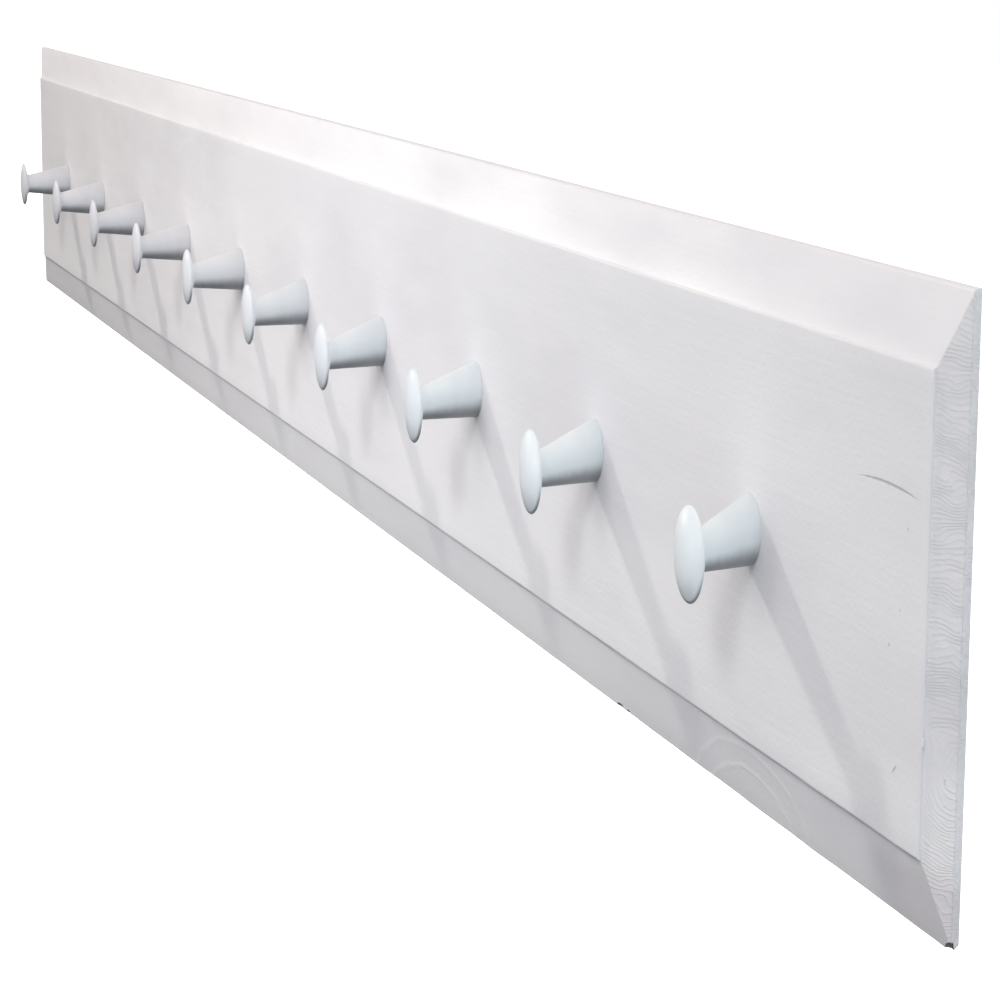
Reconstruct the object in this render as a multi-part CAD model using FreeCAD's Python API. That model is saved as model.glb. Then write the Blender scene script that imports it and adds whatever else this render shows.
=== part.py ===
import FreeCAD, Part
import math
import os

# Wall-mounted peg rail, in millimetres.
# X runs along the rail, +Y points into the wall and +Z points up.
# The origin is the centre of the rail's back face, level with the row of pegs.

# Rail board: a flat field with a step and a sloping bevel on all four sides
peg_count = 10
peg_spacing = 150.0
peg_end_distance = 147.5  # centre of the last peg to the end of the board
board_height = 150.0
board_thickness = 18.0
board_edge_thickness = 9.0  # square edge left outside the bevel
bevel_width = 18.5
field_step = 2.2
field_arris_radius = 0.8
board_edge_radius = 0.6

# Turned peg
peg_base_diameter = 19.0
peg_base_radius = 0.6  # rounded foot of the cone
peg_neck_diameter = 10.5
peg_cove_radius = 4.0  # hollow between the neck and the back of the head
peg_head_diameter = 24.0
peg_head_distance = 68.0  # board face to the widest point of the head
peg_head_front = 4.5  # dome in front of the widest point
peg_head_rim_radius = 2.0
peg_head_back_slope = 30.0  # degrees between the back of the head and the board
tenon_diameter = 12.7
tenon_chamfer = 0.8
tenon_clearance = 0.05  # radial glue gap
tenon_end_gap = 1.0
hole_back_web = 3.0  # wood left behind each peg hole

# Keyhole hanger plates, let into the back between the pegs
hanger_steps = (-4, 0, 4)  # places along the rail, in peg spacings from its middle
hanger_height = 30.0  # plate centre above the row of pegs
plate_length = 45.0
plate_width = 16.0
plate_thickness = 2.0
plate_corner_radius = 3.0
plate_recess_clearance = 0.25
keyhole_entry_diameter = 10.0
keyhole_slot_width = 5.0
keyhole_entry_drop = 5.0  # entry hole's centre below the plate's centre
keyhole_travel = 9.5  # entry hole's centre to the slot's upper centre
wall_screw_clearance = 0.5  # round the wall screw's head, behind the plate
wall_screw_pocket_depth = 7.0

# Countersunk screws that hold the plates
screw_offset = 17.5  # plate centre to each screw
screw_head_diameter = 6.0
screw_head_height = 1.6
screw_head_inset = 0.1  # head below the plate's outer face
screw_shank_diameter = 3.0
screw_length = 12.0
screw_tip_length = 3.0
screw_seat_clearance = 0.03
screw_hole_clearance = 0.1
screw_pilot_clearance = 0.05
screw_pilot_end_gap = 1.0
driver_slot_length = 3.4
driver_slot_width = 0.7
driver_slot_depth = 0.9

# Worked out from the sizes above
board_length = (peg_count - 1) * peg_spacing + 2 * peg_end_distance
face_y = -board_thickness
bevel_top_y = face_y + field_step
tenon_length = board_thickness - hole_back_web - tenon_end_gap
head_radius = peg_head_diameter / 2
neck_radius = peg_neck_diameter / 2
base_radius = peg_base_diameter / 2
tenon_radius = tenon_diameter / 2
entry_radius = keyhole_entry_diameter / 2
slot_radius = keyhole_slot_width / 2
pocket_radius = entry_radius + wall_screw_clearance
shank_radius = screw_shank_diameter / 2
screw_head_radius = screw_head_diameter / 2


def point(x, y, z):
    return FreeCAD.Vector(x, y, z)


def rectangle(length, height, y):
    """A closed wire in the plane Y = y, centred on the Y axis."""
    half_length = length / 2
    half_height = height / 2
    corners = [
        point(-half_length, y, -half_height),
        point(half_length, y, -half_height),
        point(half_length, y, half_height),
        point(-half_length, y, half_height),
    ]
    return Part.makePolygon(corners + corners[:1])


def block(length, height, y_from, y_to):
    """A block centred on the Y axis."""
    face = Part.Face(rectangle(length, height, y_from))
    return face.extrude(point(0, y_to - y_from, 0))


def rod(radius, x, z, y_from, y_to):
    """A round bar along Y."""
    direction = point(0, math.copysign(1, y_to - y_from), 0)
    return Part.makeCylinder(radius, abs(y_to - y_from), point(x, y_from, z), direction)


def taper(radius_from, radius_to, x, z, y_from, y_to):
    """A cone frustum along Y."""
    direction = point(0, math.copysign(1, y_to - y_from), 0)
    place = point(x, y_from, z)
    return Part.makeCone(radius_from, radius_to, abs(y_to - y_from), place, direction)


def is_along_y(edge):
    start, end = edge.Vertexes[0].Point, edge.Vertexes[-1].Point
    return abs(start.x - end.x) < 1e-6 and abs(start.z - end.z) < 1e-6


def rounded_block(length, height, radius, y_from, y_to):
    """A block with its four edges along Y rounded."""
    solid = block(length, height, y_from, y_to)
    return solid.makeFillet(radius, [edge for edge in solid.Edges if is_along_y(edge)])


def keyhole(lower_radius, upper_radius, x, y_from, y_to):
    """A round entry, the slot above it and the slot's round end, along Y."""
    low = hanger_height - keyhole_entry_drop
    high = low + keyhole_travel
    slot = block(2 * upper_radius, keyhole_travel, y_from, y_to)
    slot.translate(point(x, 0, (low + high) / 2))
    entry = rod(lower_radius, x, low, y_from, y_to)
    return entry.fuse([slot, rod(upper_radius, x, high, y_from, y_to)])


def peg_places():
    first = -(peg_count - 1) / 2 * peg_spacing
    return [first + i * peg_spacing for i in range(peg_count)]


def hanger_places():
    return [step * peg_spacing for step in hanger_steps]


def screw_places():
    """X and Z of each plate screw, the lower one of each plate first."""
    heights = (hanger_height - screw_offset, hanger_height + screw_offset)
    return [(x, z) for x in hanger_places() for z in heights]


def edges_in_plane(solid, y, half_length, half_height):
    """The straight edges of a rectangle of this size in the plane Y = y."""
    found = []
    for edge in solid.Edges:
        middle = edge.CenterOfMass
        on_side = abs(abs(middle.x) - half_length) < 1e-4 or abs(abs(middle.z) - half_height) < 1e-4
        if abs(middle.y - y) < 1e-4 and on_side:
            found.append(edge)
    return found


def board_blank():
    """The moulded board, before any hole is cut."""
    field_length = board_length - 2 * bevel_width
    field_height = board_height - 2 * bevel_width
    back = block(board_length, board_height, 0, -board_edge_thickness)
    outer = rectangle(board_length, board_height, -board_edge_thickness)
    inner = rectangle(field_length, field_height, bevel_top_y)
    slope = Part.makeLoft([outer, inner], True, True)
    field = block(field_length, field_height, bevel_top_y, face_y)
    blank = back.fuse([slope, field]).removeSplitter()
    arris = edges_in_plane(blank, face_y, field_length / 2, field_height / 2)
    blank = blank.makeFillet(field_arris_radius, arris)
    rim = edges_in_plane(blank, -board_edge_thickness, board_length / 2, board_height / 2)
    return blank.makeFillet(board_edge_radius, rim)


def peg_hole(x):
    return rod(tenon_radius + tenon_clearance, x, 0, face_y - 1, -hole_back_web)


def plate_recess(x):
    """The shallow recess for one plate and the pocket for the wall screw's head."""
    length = plate_width + 2 * plate_recess_clearance
    height = plate_length + 2 * plate_recess_clearance
    radius = plate_corner_radius + plate_recess_clearance
    recess = rounded_block(length, height, radius, 1, -plate_thickness)
    recess.translate(point(x, 0, hanger_height))
    pocket_bottom = -plate_thickness - wall_screw_pocket_depth
    return recess.fuse(keyhole(pocket_radius, pocket_radius, x, 1, pocket_bottom))


def screw_pilot(x, z):
    bottom = -screw_head_inset - screw_length - screw_pilot_end_gap
    return rod(shank_radius + screw_pilot_clearance, x, z, 0, bottom)


def rail_board():
    cuts = [peg_hole(x) for x in peg_places()]
    cuts += [plate_recess(x) for x in hanger_places()]
    cuts += [screw_pilot(x, z) for x, z in screw_places()]
    return board_blank().cut(cuts).removeSplitter()


def head_points():
    """The head's outline from the neck to the tip, as (radius, distance from the board)."""
    slope = math.radians(peg_head_back_slope)
    sine, cosine = math.sin(slope), math.cos(slope)
    rim_centre = head_radius - peg_head_rim_radius
    reach = rim_centre - neck_radius - peg_cove_radius
    drop = (sine * reach + peg_head_rim_radius + peg_cove_radius) / cosine
    cove_centre = (neck_radius + peg_cove_radius, peg_head_distance - drop)

    def on_cove(angle):
        return (
            cove_centre[0] - peg_cove_radius * math.cos(angle),
            cove_centre[1] + peg_cove_radius * math.sin(angle),
        )

    def on_rim(angle):
        return (
            rim_centre + peg_head_rim_radius * math.cos(angle),
            peg_head_distance + peg_head_rim_radius * math.sin(angle),
        )

    rise = peg_head_front - peg_head_rim_radius
    dome_depth = (rim_centre**2 - rise**2) / (2 * rise)
    dome_radius = dome_depth + peg_head_front
    dome_angle = math.atan2(dome_depth, rim_centre)
    middle = (math.pi / 2 + dome_angle) / 2
    dome_middle = (
        dome_radius * math.cos(middle),
        peg_head_distance - dome_depth + dome_radius * math.sin(middle),
    )
    cove_end = math.pi / 2 - slope
    return [
        ("line", on_cove(0)),
        ("arc", on_cove(cove_end / 2), on_cove(cove_end)),
        ("line", on_rim(-cove_end)),
        ("arc", on_rim((dome_angle - cove_end) / 2), on_rim(dome_angle)),
        ("arc", dome_middle, (0, peg_head_distance + peg_head_front)),
    ]


def peg_outline():
    """Half of the peg's section from the tenon's end to the tip of the head."""
    foot_inset = peg_base_radius * (1 - math.sqrt(0.5))
    return [
        ("line", (tenon_radius - tenon_chamfer, -tenon_length)),
        ("line", (tenon_radius, tenon_chamfer - tenon_length)),
        ("line", (tenon_radius, 0)),
        ("line", (base_radius - peg_base_radius, 0)),
        ("arc", (base_radius - foot_inset, foot_inset), (base_radius, peg_base_radius)),
    ] + head_points()


def turned_peg(x):
    """A peg turned about its own axis, with its shoulder on the board's face."""
    def place(pair):
        return point(x + pair[0], face_y - pair[1], 0)

    start = here = (0, -tenon_length)
    edges = []
    for kind, *pairs in peg_outline():
        if kind == "line":
            edges.append(Part.LineSegment(place(here), place(pairs[0])).toShape())
        else:
            edges.append(Part.Arc(place(here), place(pairs[0]), place(pairs[1])).toShape())
        here = pairs[-1]
    edges.append(Part.LineSegment(place(here), place(start)).toShape())
    section = Part.Face(Part.Wire(edges))
    return section.revolve(point(x, 0, 0), point(0, 1, 0), 360)


def hanger_plate(x):
    plate = rounded_block(plate_width, plate_length, plate_corner_radius, 0, -plate_thickness)
    plate.translate(point(x, 0, hanger_height))
    cuts = [keyhole(entry_radius, slot_radius, x, 1, -plate_thickness - 1)]
    for place_x, z in screw_places():
        if place_x == x:
            cuts.append(screw_seat(x, z))
    return plate.cut(cuts)


def screw_seat(x, z):
    """The countersunk hole that a screw sits in."""
    hole_radius = shank_radius + screw_hole_clearance
    mouth_radius = screw_head_radius + screw_seat_clearance
    depth = screw_head_inset + screw_head_height
    mouth = rod(mouth_radius, x, z, 1, -screw_head_inset)
    cone = taper(mouth_radius, shank_radius + screw_seat_clearance, x, z, -screw_head_inset, -depth)
    return mouth.fuse([cone, rod(hole_radius, x, z, 1, -plate_thickness - 1)])


def plate_screw(x, z):
    """A countersunk screw with a cross recess, pointing out of the wall into the board."""
    top = -screw_head_inset
    neck = top - screw_head_height
    tip_start = top - screw_length + screw_tip_length
    head = taper(screw_head_radius, shank_radius, x, z, top, neck)
    shank = rod(shank_radius, x, z, neck, tip_start)
    tip = taper(shank_radius, shank_radius * 0.1, x, z, tip_start, top - screw_length)
    across = block(driver_slot_length, driver_slot_width, 1, top - driver_slot_depth)
    upright = block(driver_slot_width, driver_slot_length, 1, top - driver_slot_depth)
    for slot in (across, upright):
        slot.translate(point(x, 0, z))
    return head.fuse([shank, tip]).removeSplitter().cut([across, upright])


def save(shape, node):
    solids = shape.Solids
    if len(solids) != 1 or not solids[0].isValid():
        raise ValueError(node + " is not one valid solid")
    solids[0].exportStep("parts/" + node + ".step")
    print(node, round(solids[0].Volume / 1000, 3), "cm3")


os.makedirs("parts", exist_ok=True)
save(rail_board(), "rail_board")
for number, x in enumerate(peg_places(), 1):
    save(turned_peg(x), f"peg_{number:02d}")
for number, x in enumerate(hanger_places(), 1):
    save(hanger_plate(x), f"hanger_plate_{number}")
for number, (x, z) in enumerate(screw_places(), 1):
    save(plate_screw(x, z), f"plate_screw_{number}")
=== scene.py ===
"""A wall-mounted peg rail: a painted, moulded pine board with ten turned pegs and three keyhole hanger plates.

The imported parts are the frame. Each class below makes one kind of piece where its part lies, and dresses it.
"""

import enum
import logging
import math
from collections.abc import Callable, Sequence
from dataclasses import dataclass, field

import bmesh
import bpy
from mathutils import Matrix, Vector


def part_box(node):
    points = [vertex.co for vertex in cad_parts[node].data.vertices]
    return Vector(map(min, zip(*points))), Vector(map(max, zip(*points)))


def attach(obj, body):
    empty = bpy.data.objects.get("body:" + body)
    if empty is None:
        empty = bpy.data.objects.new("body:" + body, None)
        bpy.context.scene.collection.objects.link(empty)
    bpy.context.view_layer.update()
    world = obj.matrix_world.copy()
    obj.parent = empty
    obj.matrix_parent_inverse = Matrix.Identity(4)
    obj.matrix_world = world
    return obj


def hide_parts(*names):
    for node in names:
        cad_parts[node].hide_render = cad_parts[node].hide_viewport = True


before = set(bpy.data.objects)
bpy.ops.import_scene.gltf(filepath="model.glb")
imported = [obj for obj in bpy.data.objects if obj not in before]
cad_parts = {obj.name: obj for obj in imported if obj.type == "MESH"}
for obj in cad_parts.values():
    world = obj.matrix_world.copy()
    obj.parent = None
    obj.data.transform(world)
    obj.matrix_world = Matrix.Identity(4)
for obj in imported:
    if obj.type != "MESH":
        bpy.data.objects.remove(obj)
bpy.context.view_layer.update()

log = logging.getLogger("peg_rail")

MM = 0.001  # one millimetre in the frame's metres
NEAR = 1e-6  # two places closer than this are the same
LEVEL = 1e-5  # two places whose heights differ by less than this are level
PROUD = 1 * MM  # how far a cutter stands out of what it cuts
OVERLAP = 0.5 * MM  # how far a cutter reaches into the one above it
FRONT = -0.9  # a face whose normal has a Y below this looks to the front
BACK = 0.999  # a face whose normal has a Y above this looks to the back

Colour = tuple[float, float, float]
Point = tuple[float, float, float]


# Selecting and shaping in edit mode


def begin_mesh(name: str, add: Callable[[], object]) -> bpy.types.Object:
    """Adds a primitive, names it and leaves it in edit mode with all of it selected.

    Args:
        name: The piece's name.
        add: A call that adds the primitive in edit mode at the origin.

    Returns:
        The new object.
    """
    bpy.ops.object.select_all(action="DESELECT")
    add()
    piece = bpy.context.object
    piece.name = name
    piece.data.name = name
    return piece


def end_mesh() -> None:
    """Makes all faces point outwards and leaves edit mode."""
    bpy.ops.mesh.select_all(action="SELECT")
    bpy.ops.mesh.remove_doubles(threshold=NEAR)
    bpy.ops.mesh.normals_make_consistent(inside=False)
    bpy.ops.object.mode_set(mode="OBJECT")


def pick_faces(piece: bpy.types.Object, test: Callable[[Vector, Vector], bool]) -> int:
    """Selects the faces whose centre and normal pass a test, in edit mode.

    Args:
        piece: The object in edit mode.
        test: Takes a face's centre and normal.

    Returns:
        How many faces are selected.
    """
    bpy.ops.mesh.select_mode(type="FACE")
    bpy.ops.mesh.select_all(action="DESELECT")
    shape = bmesh.from_edit_mesh(piece.data)
    found = [face for face in shape.faces if test(face.calc_center_median(), face.normal)]
    for face in found:
        face.select_set(True)
    bmesh.update_edit_mesh(piece.data)
    return len(found)


def pick_edges(piece: bpy.types.Object, test: Callable[[Vector, Vector], bool]) -> int:
    """Selects the edges whose two ends pass a test, in edit mode.

    Args:
        piece: The object in edit mode.
        test: Takes the places of an edge's two ends.

    Returns:
        How many edges are selected.
    """
    bpy.ops.mesh.select_mode(type="EDGE")
    bpy.ops.mesh.select_all(action="DESELECT")
    shape = bmesh.from_edit_mesh(piece.data)
    found = [edge for edge in shape.edges if test(edge.verts[0].co, edge.verts[1].co)]
    for edge in found:
        edge.select_set(True)
    bmesh.update_edit_mesh(piece.data)
    return len(found)


def box_mesh(name: str, low: Point, high: Point) -> bpy.types.Object:
    """A box between two corners, left in edit mode.

    Args:
        name: The piece's name.
        low: The lowest corner.
        high: The highest corner.

    Returns:
        The new object.
    """
    piece = begin_mesh(name, lambda: bpy.ops.mesh.primitive_cube_add(size=1, enter_editmode=True))
    size = Vector(high) - Vector(low)
    bpy.ops.transform.resize(value=size, center_override=(0, 0, 0))
    bpy.ops.transform.translate(value=(Vector(high) + Vector(low)) / 2)
    return piece


def lathe_mesh(name: str, outline: Sequence[tuple[float, float]], sides: int) -> bpy.types.Object:
    """A turned solid about an axis along Y through the origin.

    Args:
        name: The piece's name.
        outline: Radius and Y of each ring, from one end to the other. A last radius of zero is a pole.
        sides: Faces round the axis.

    Returns:
        The new object, in object mode.
    """
    first_radius, y = outline[0]
    piece = begin_mesh(name, lambda: bpy.ops.mesh.primitive_circle_add(
        vertices=sides, radius=first_radius, fill_type="NGON", enter_editmode=True))
    bpy.ops.transform.rotate(value=math.pi / 2, orient_axis="X", center_override=(0, 0, 0))
    bpy.ops.transform.translate(value=(0, y, 0))
    radius = first_radius
    for next_radius, next_y in outline[1:]:
        bpy.ops.mesh.extrude_region_move(TRANSFORM_OT_translate={"value": (0, next_y - y, 0)})
        if next_radius == 0:
            bpy.ops.mesh.merge(type="CENTER")
            break
        share = next_radius / radius
        bpy.ops.transform.resize(value=(share, 1, share), center_override=(0, next_y, 0))
        radius, y = next_radius, next_y
    end_mesh()
    return piece


def move_mesh(piece: bpy.types.Object, offset: Point) -> None:
    """Moves a piece's mesh and leaves its object at the origin."""
    piece.data.transform(Matrix.Translation(offset))


def copy_piece(piece: bpy.types.Object, name: str, offset: Point) -> bpy.types.Object:
    """A copy of a piece with its own mesh, moved by an offset.

    Args:
        piece: The piece to copy.
        name: The copy's name.
        offset: How far the copy's mesh is moved.

    Returns:
        The copy.
    """
    twin = piece.copy()
    twin.data = piece.data.copy()
    twin.name = name
    twin.data.name = name
    bpy.context.scene.collection.objects.link(twin)
    move_mesh(twin, offset)
    return twin


def only(piece: bpy.types.Object) -> None:
    """Makes a piece the only one selected, and the active one."""
    bpy.ops.object.select_all(action="DESELECT")
    piece.select_set(True)
    bpy.context.view_layer.objects.active = piece


def join_all(pieces: Sequence[bpy.types.Object], name: str) -> bpy.types.Object:
    """Joins objects into the first of them and names it."""
    bpy.ops.object.select_all(action="DESELECT")
    for piece in pieces:
        piece.select_set(True)
    bpy.context.view_layer.objects.active = pieces[0]
    bpy.ops.object.join()
    pieces[0].name = name
    return pieces[0]


def apply_modifier(piece: bpy.types.Object, kind: str, **settings: object) -> None:
    """Adds one modifier with these settings and applies it."""
    only(piece)
    bpy.ops.object.modifier_add(type=kind)
    modifier = piece.modifiers[-1]
    for key, value in settings.items():
        setattr(modifier, key, value)
    bpy.ops.object.modifier_apply(modifier=modifier.name)


def cut(piece: bpy.types.Object, cutter: bpy.types.Object, overlapping: bool = False) -> None:
    """Cuts one solid out of a piece and removes the cutter.

    Args:
        piece: The piece to cut.
        cutter: The solid to take away.
        overlapping: True if the cutter's own shells overlap.
    """
    apply_modifier(piece, "BOOLEAN", operation="DIFFERENCE", solver="EXACT", object=cutter,
                   use_self=overlapping)
    bpy.data.objects.remove(cutter)


def smooth(piece: bpy.types.Object, degrees: float) -> None:
    """Shades a piece smooth except across edges sharper than an angle."""
    only(piece)
    bpy.ops.object.shade_smooth_by_angle(angle=math.radians(degrees))


def circle_arc(centre: tuple[float, float], radius: float, start: float, end: float,
               steps: int) -> list[tuple[float, float]]:
    """Points on an arc after its start, up to and with its end.

    Args:
        centre: The arc's centre.
        radius: Its radius.
        start: The angle it starts at, in radians.
        end: The angle it ends at.
        steps: How many points are made.

    Returns:
        The points as pairs.
    """
    angles = [start + (end - start) * step / steps for step in range(1, steps + 1)]
    return [(centre[0] + radius * math.cos(a), centre[1] + radius * math.sin(a)) for a in angles]


# Node trees


Value = object  # a number, a tuple or a socket


class NodeSheet:
    """A node tree with short ways to add and join nodes."""

    def __init__(self, tree: bpy.types.NodeTree) -> None:
        """Keeps the tree to be filled."""
        self.tree = tree

    def node(self, kind: str, **settings: object) -> bpy.types.Node:
        """Adds a node of a kind and sets its own properties."""
        made = self.tree.nodes.new(kind)
        for key, value in settings.items():
            setattr(made, key, value)
        return made

    def feed(self, socket: bpy.types.NodeSocket, value: Value) -> None:
        """Links a socket to an output, or sets it to a number or tuple."""
        if isinstance(value, bpy.types.NodeSocket):
            self.tree.links.new(value, socket)
        elif value is not None:
            socket.default_value = value

    def maths(self, operation: str, *values: Value, clamp: bool = False) -> bpy.types.NodeSocket:
        """One step of arithmetic on numbers."""
        made = self.node("ShaderNodeMath", operation=operation, use_clamp=clamp)
        for socket, value in zip(made.inputs, values):
            self.feed(socket, value)
        return made.outputs[0]

    def times(self, *values: Value, clamp: bool = False) -> bpy.types.NodeSocket:
        """The product of two numbers."""
        return self.maths("MULTIPLY", *values, clamp=clamp)

    def times_plus(self, *values: Value) -> bpy.types.NodeSocket:
        """The product of two numbers, and a third added to it."""
        return self.maths("MULTIPLY_ADD", *values)

    def plus(self, *values: Value) -> bpy.types.NodeSocket:
        """The sum of two numbers."""
        return self.maths("ADD", *values)

    def minus(self, *values: Value, clamp: bool = False) -> bpy.types.NodeSocket:
        """The first number less the second."""
        return self.maths("SUBTRACT", *values, clamp=clamp)

    def vector(self, operation: str, *values: Value) -> bpy.types.NodeSocket:
        """One step of arithmetic on vectors."""
        made = self.node("ShaderNodeVectorMath", operation=operation)
        for socket, value in zip(made.inputs, values):
            self.feed(socket, value)
        return made.outputs["Value" if operation in ("LENGTH", "DOT_PRODUCT", "DISTANCE") else "Vector"]

    def parts(self, vector: Value) -> tuple[bpy.types.NodeSocket, ...]:
        """The X, Y and Z of a vector."""
        made = self.node("ShaderNodeSeparateXYZ")
        self.feed(made.inputs[0], vector)
        return tuple(made.outputs)

    def join(self, x: Value, y: Value, z: Value) -> bpy.types.NodeSocket:
        """A vector from its X, Y and Z."""
        made = self.node("ShaderNodeCombineXYZ")
        for socket, value in zip(made.inputs, (x, y, z)):
            self.feed(socket, value)
        return made.outputs[0]

    def noise(self, vector: Value, scale: Value, detail: float = 2.0, rough: float = 0.5) -> bpy.types.NodeSocket:
        """Smooth noise from 0 to 1 on a vector."""
        made = self.node("ShaderNodeTexNoise")
        self.feed(made.inputs["Vector"], vector)
        self.feed(made.inputs["Scale"], scale)
        made.inputs["Detail"].default_value = detail
        made.inputs["Roughness"].default_value = rough
        return made.outputs[0]

    def grain(self, vector: Value, along: float, across: float, detail: float,
              rough: float = 0.5) -> bpy.types.NodeSocket:
        """Noise with one scale along X and another across it."""
        return self.noise(self.vector("MULTIPLY", vector, (along, across, across)), 1.0, detail, rough)

    def ramp(self, value: Value, low: Value, high: Value, low_out: Value = 0.0,
             high_out: Value = 1.0) -> bpy.types.NodeSocket:
        """A soft step from one value to another as a number goes from low to high."""
        made = self.node("ShaderNodeMapRange", interpolation_type="SMOOTHSTEP")
        for name, fed in (("Value", value), ("From Min", low), ("From Max", high),
                          ("To Min", low_out), ("To Max", high_out)):
            self.feed(made.inputs[name], fed)
        return made.outputs["Result"]

    def mix(self, share: Value, first: Value, second: Value, blend: str = "MIX") -> bpy.types.NodeSocket:
        """Two colours mixed by a share from 0 to 1."""
        made = self.node("ShaderNodeMix", data_type="RGBA", blend_type=blend)
        made.clamp_factor = True
        colours = [socket for socket in made.inputs if socket.type == "RGBA"]
        self.feed(made.inputs[0], share)
        self.feed(colours[0], as_rgba(first))
        self.feed(colours[1], as_rgba(second))
        return next(socket for socket in made.outputs if socket.type == "RGBA")

    def group(self, tree: bpy.types.NodeTree, **values: Value) -> bpy.types.Node:
        """Places a node group and feeds its inputs, named with underscores for spaces."""
        made = self.node("ShaderNodeGroup", node_tree=tree)
        for name, value in values.items():
            self.feed(made.inputs[name.replace("_", " ")], value)
        return made


def as_rgba(colour: Value) -> Value:
    """A three-part colour with its alpha, or any other value as it is."""
    return (*colour, 1.0) if isinstance(colour, tuple) and len(colour) == 3 else colour


class Socket(enum.Enum):
    """The kinds of socket that the shared groups have."""

    NUMBER = "NodeSocketFloat"
    VECTOR = "NodeSocketVector"


class SharedGroup:
    """A node group that is made once and placed in several materials."""

    name = "group"
    inputs: dict[str, tuple[Socket, object]] = {}
    outputs: dict[str, Socket] = {}

    def tree(self) -> bpy.types.NodeTree:
        """The group's tree, made when it is first asked for."""
        known = bpy.data.node_groups.get(self.name)
        if known:
            return known
        made = bpy.data.node_groups.new(self.name, "ShaderNodeTree")
        for name, (kind, value) in self.inputs.items():
            socket = made.interface.new_socket(name=name, in_out="INPUT", socket_type=kind.value)
            if value is not None:
                socket.default_value = value
        for name, kind in self.outputs.items():
            made.interface.new_socket(name=name, in_out="OUTPUT", socket_type=kind.value)
        sheet = NodeSheet(made)
        fed = sheet.node("NodeGroupInput").outputs
        out = sheet.node("NodeGroupOutput")
        for name, value in self.fill(sheet, {socket.name: socket for socket in fed if socket.name}).items():
            sheet.feed(out.inputs[name], value)
        return made

    def fill(self, sheet: NodeSheet, given: dict[str, bpy.types.NodeSocket]) -> dict[str, Value]:
        """Adds the group's nodes and gives the value of each output."""
        raise NotImplementedError


class PineFigure(SharedGroup):
    """Growth rings round a pith that runs along X, and the fibre that follows them."""

    name = "pine_figure"
    inputs = {
        "Vector": (Socket.VECTOR, None),
        "Ring Width": (Socket.NUMBER, 1.5 * MM),
        "Wander": (Socket.NUMBER, 8 * MM),
        "Curl": (Socket.NUMBER, 0.5 * MM),
        "Pith Depth": (Socket.NUMBER, -7 * MM),
        "Pith Height": (Socket.NUMBER, -33 * MM),
    }
    outputs = {"Rings": Socket.NUMBER, "Fibre": Socket.NUMBER}

    def fill(self, sheet: NodeSheet, given: dict[str, bpy.types.NodeSocket]) -> dict[str, Value]:
        """Rings rise slowly to the dark late wood and drop at once, as in a softwood."""
        vector = given["Vector"]
        _, y, z = sheet.parts(vector)
        slow = sheet.grain(vector, 2.6, 11.0, 2.0)
        wander = sheet.times(sheet.minus(slow, 0.5), given["Wander"])
        quick = sheet.grain(vector, 8.0, 130.0, 3.0, 0.6)
        wander = sheet.times_plus(quick, 1.5 * MM, wander)
        curl = sheet.grain(vector, 8.0, 75.0, 2.0)
        wander = sheet.times_plus(curl, given["Curl"], wander)
        across = sheet.join(0.0, sheet.minus(y, given["Pith Depth"]), sheet.minus(z, given["Pith Height"]))
        radius = sheet.plus(sheet.vector("LENGTH", across), wander)
        year = sheet.maths("FRACT", sheet.maths("DIVIDE", radius, given["Ring Width"]))
        late = sheet.maths("POWER", year, 3.2)
        drop = sheet.ramp(year, 0.94, 1.0, 1.0, 0.0)
        fibre = sheet.grain(vector, 16.0, 900.0, 3.0, 0.6)
        return {"Rings": sheet.times(late, drop), "Fibre": fibre}


class BrushedCoat(SharedGroup):
    """The relief of paint laid on by hand: strokes along X, stipple and slow patches."""

    name = "brushed_coat"
    inputs = {"Vector": (Socket.VECTOR, None), "Stroke": (Socket.NUMBER, 1.0), "Stipple": (Socket.NUMBER, 1.0)}
    outputs = {"Height": Socket.NUMBER, "Patch": Socket.NUMBER}

    def fill(self, sheet: NodeSheet, given: dict[str, bpy.types.NodeSocket]) -> dict[str, Value]:
        """Strokes and stipple are added by their own shares."""
        vector = given["Vector"]
        stroke = sheet.grain(vector, 9.0, 330.0, 4.0, 0.6)
        stipple = sheet.noise(vector, 620.0, 2.0, 0.5)
        height = sheet.plus(sheet.times(stroke, given["Stroke"]), sheet.times(stipple, given["Stipple"]))
        patch = sheet.grain(vector, 6.0, 26.0, 3.0, 0.55)
        return {"Height": height, "Patch": patch}


class SettledDust(SharedGroup):
    """Where dust lies: on faces that look up, in broken patches."""

    name = "settled_dust"
    inputs = {"Vector": (Socket.VECTOR, None), "Amount": (Socket.NUMBER, 0.5)}
    outputs = {"Mask": Socket.NUMBER}

    def fill(self, sheet: NodeSheet, given: dict[str, bpy.types.NodeSocket]) -> dict[str, Value]:
        """The upward share of the normal, broken up by noise."""
        normal = sheet.node("ShaderNodeNewGeometry").outputs["Normal"]
        up = sheet.ramp(sheet.parts(normal)[2], 0.25, 1.0)
        patches = sheet.ramp(sheet.noise(given["Vector"], 60.0, 4.0, 0.6), 0.35, 0.75)
        mask = sheet.times(up, patches)
        return {"Mask": sheet.times(mask, given["Amount"], clamp=True)}


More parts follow.
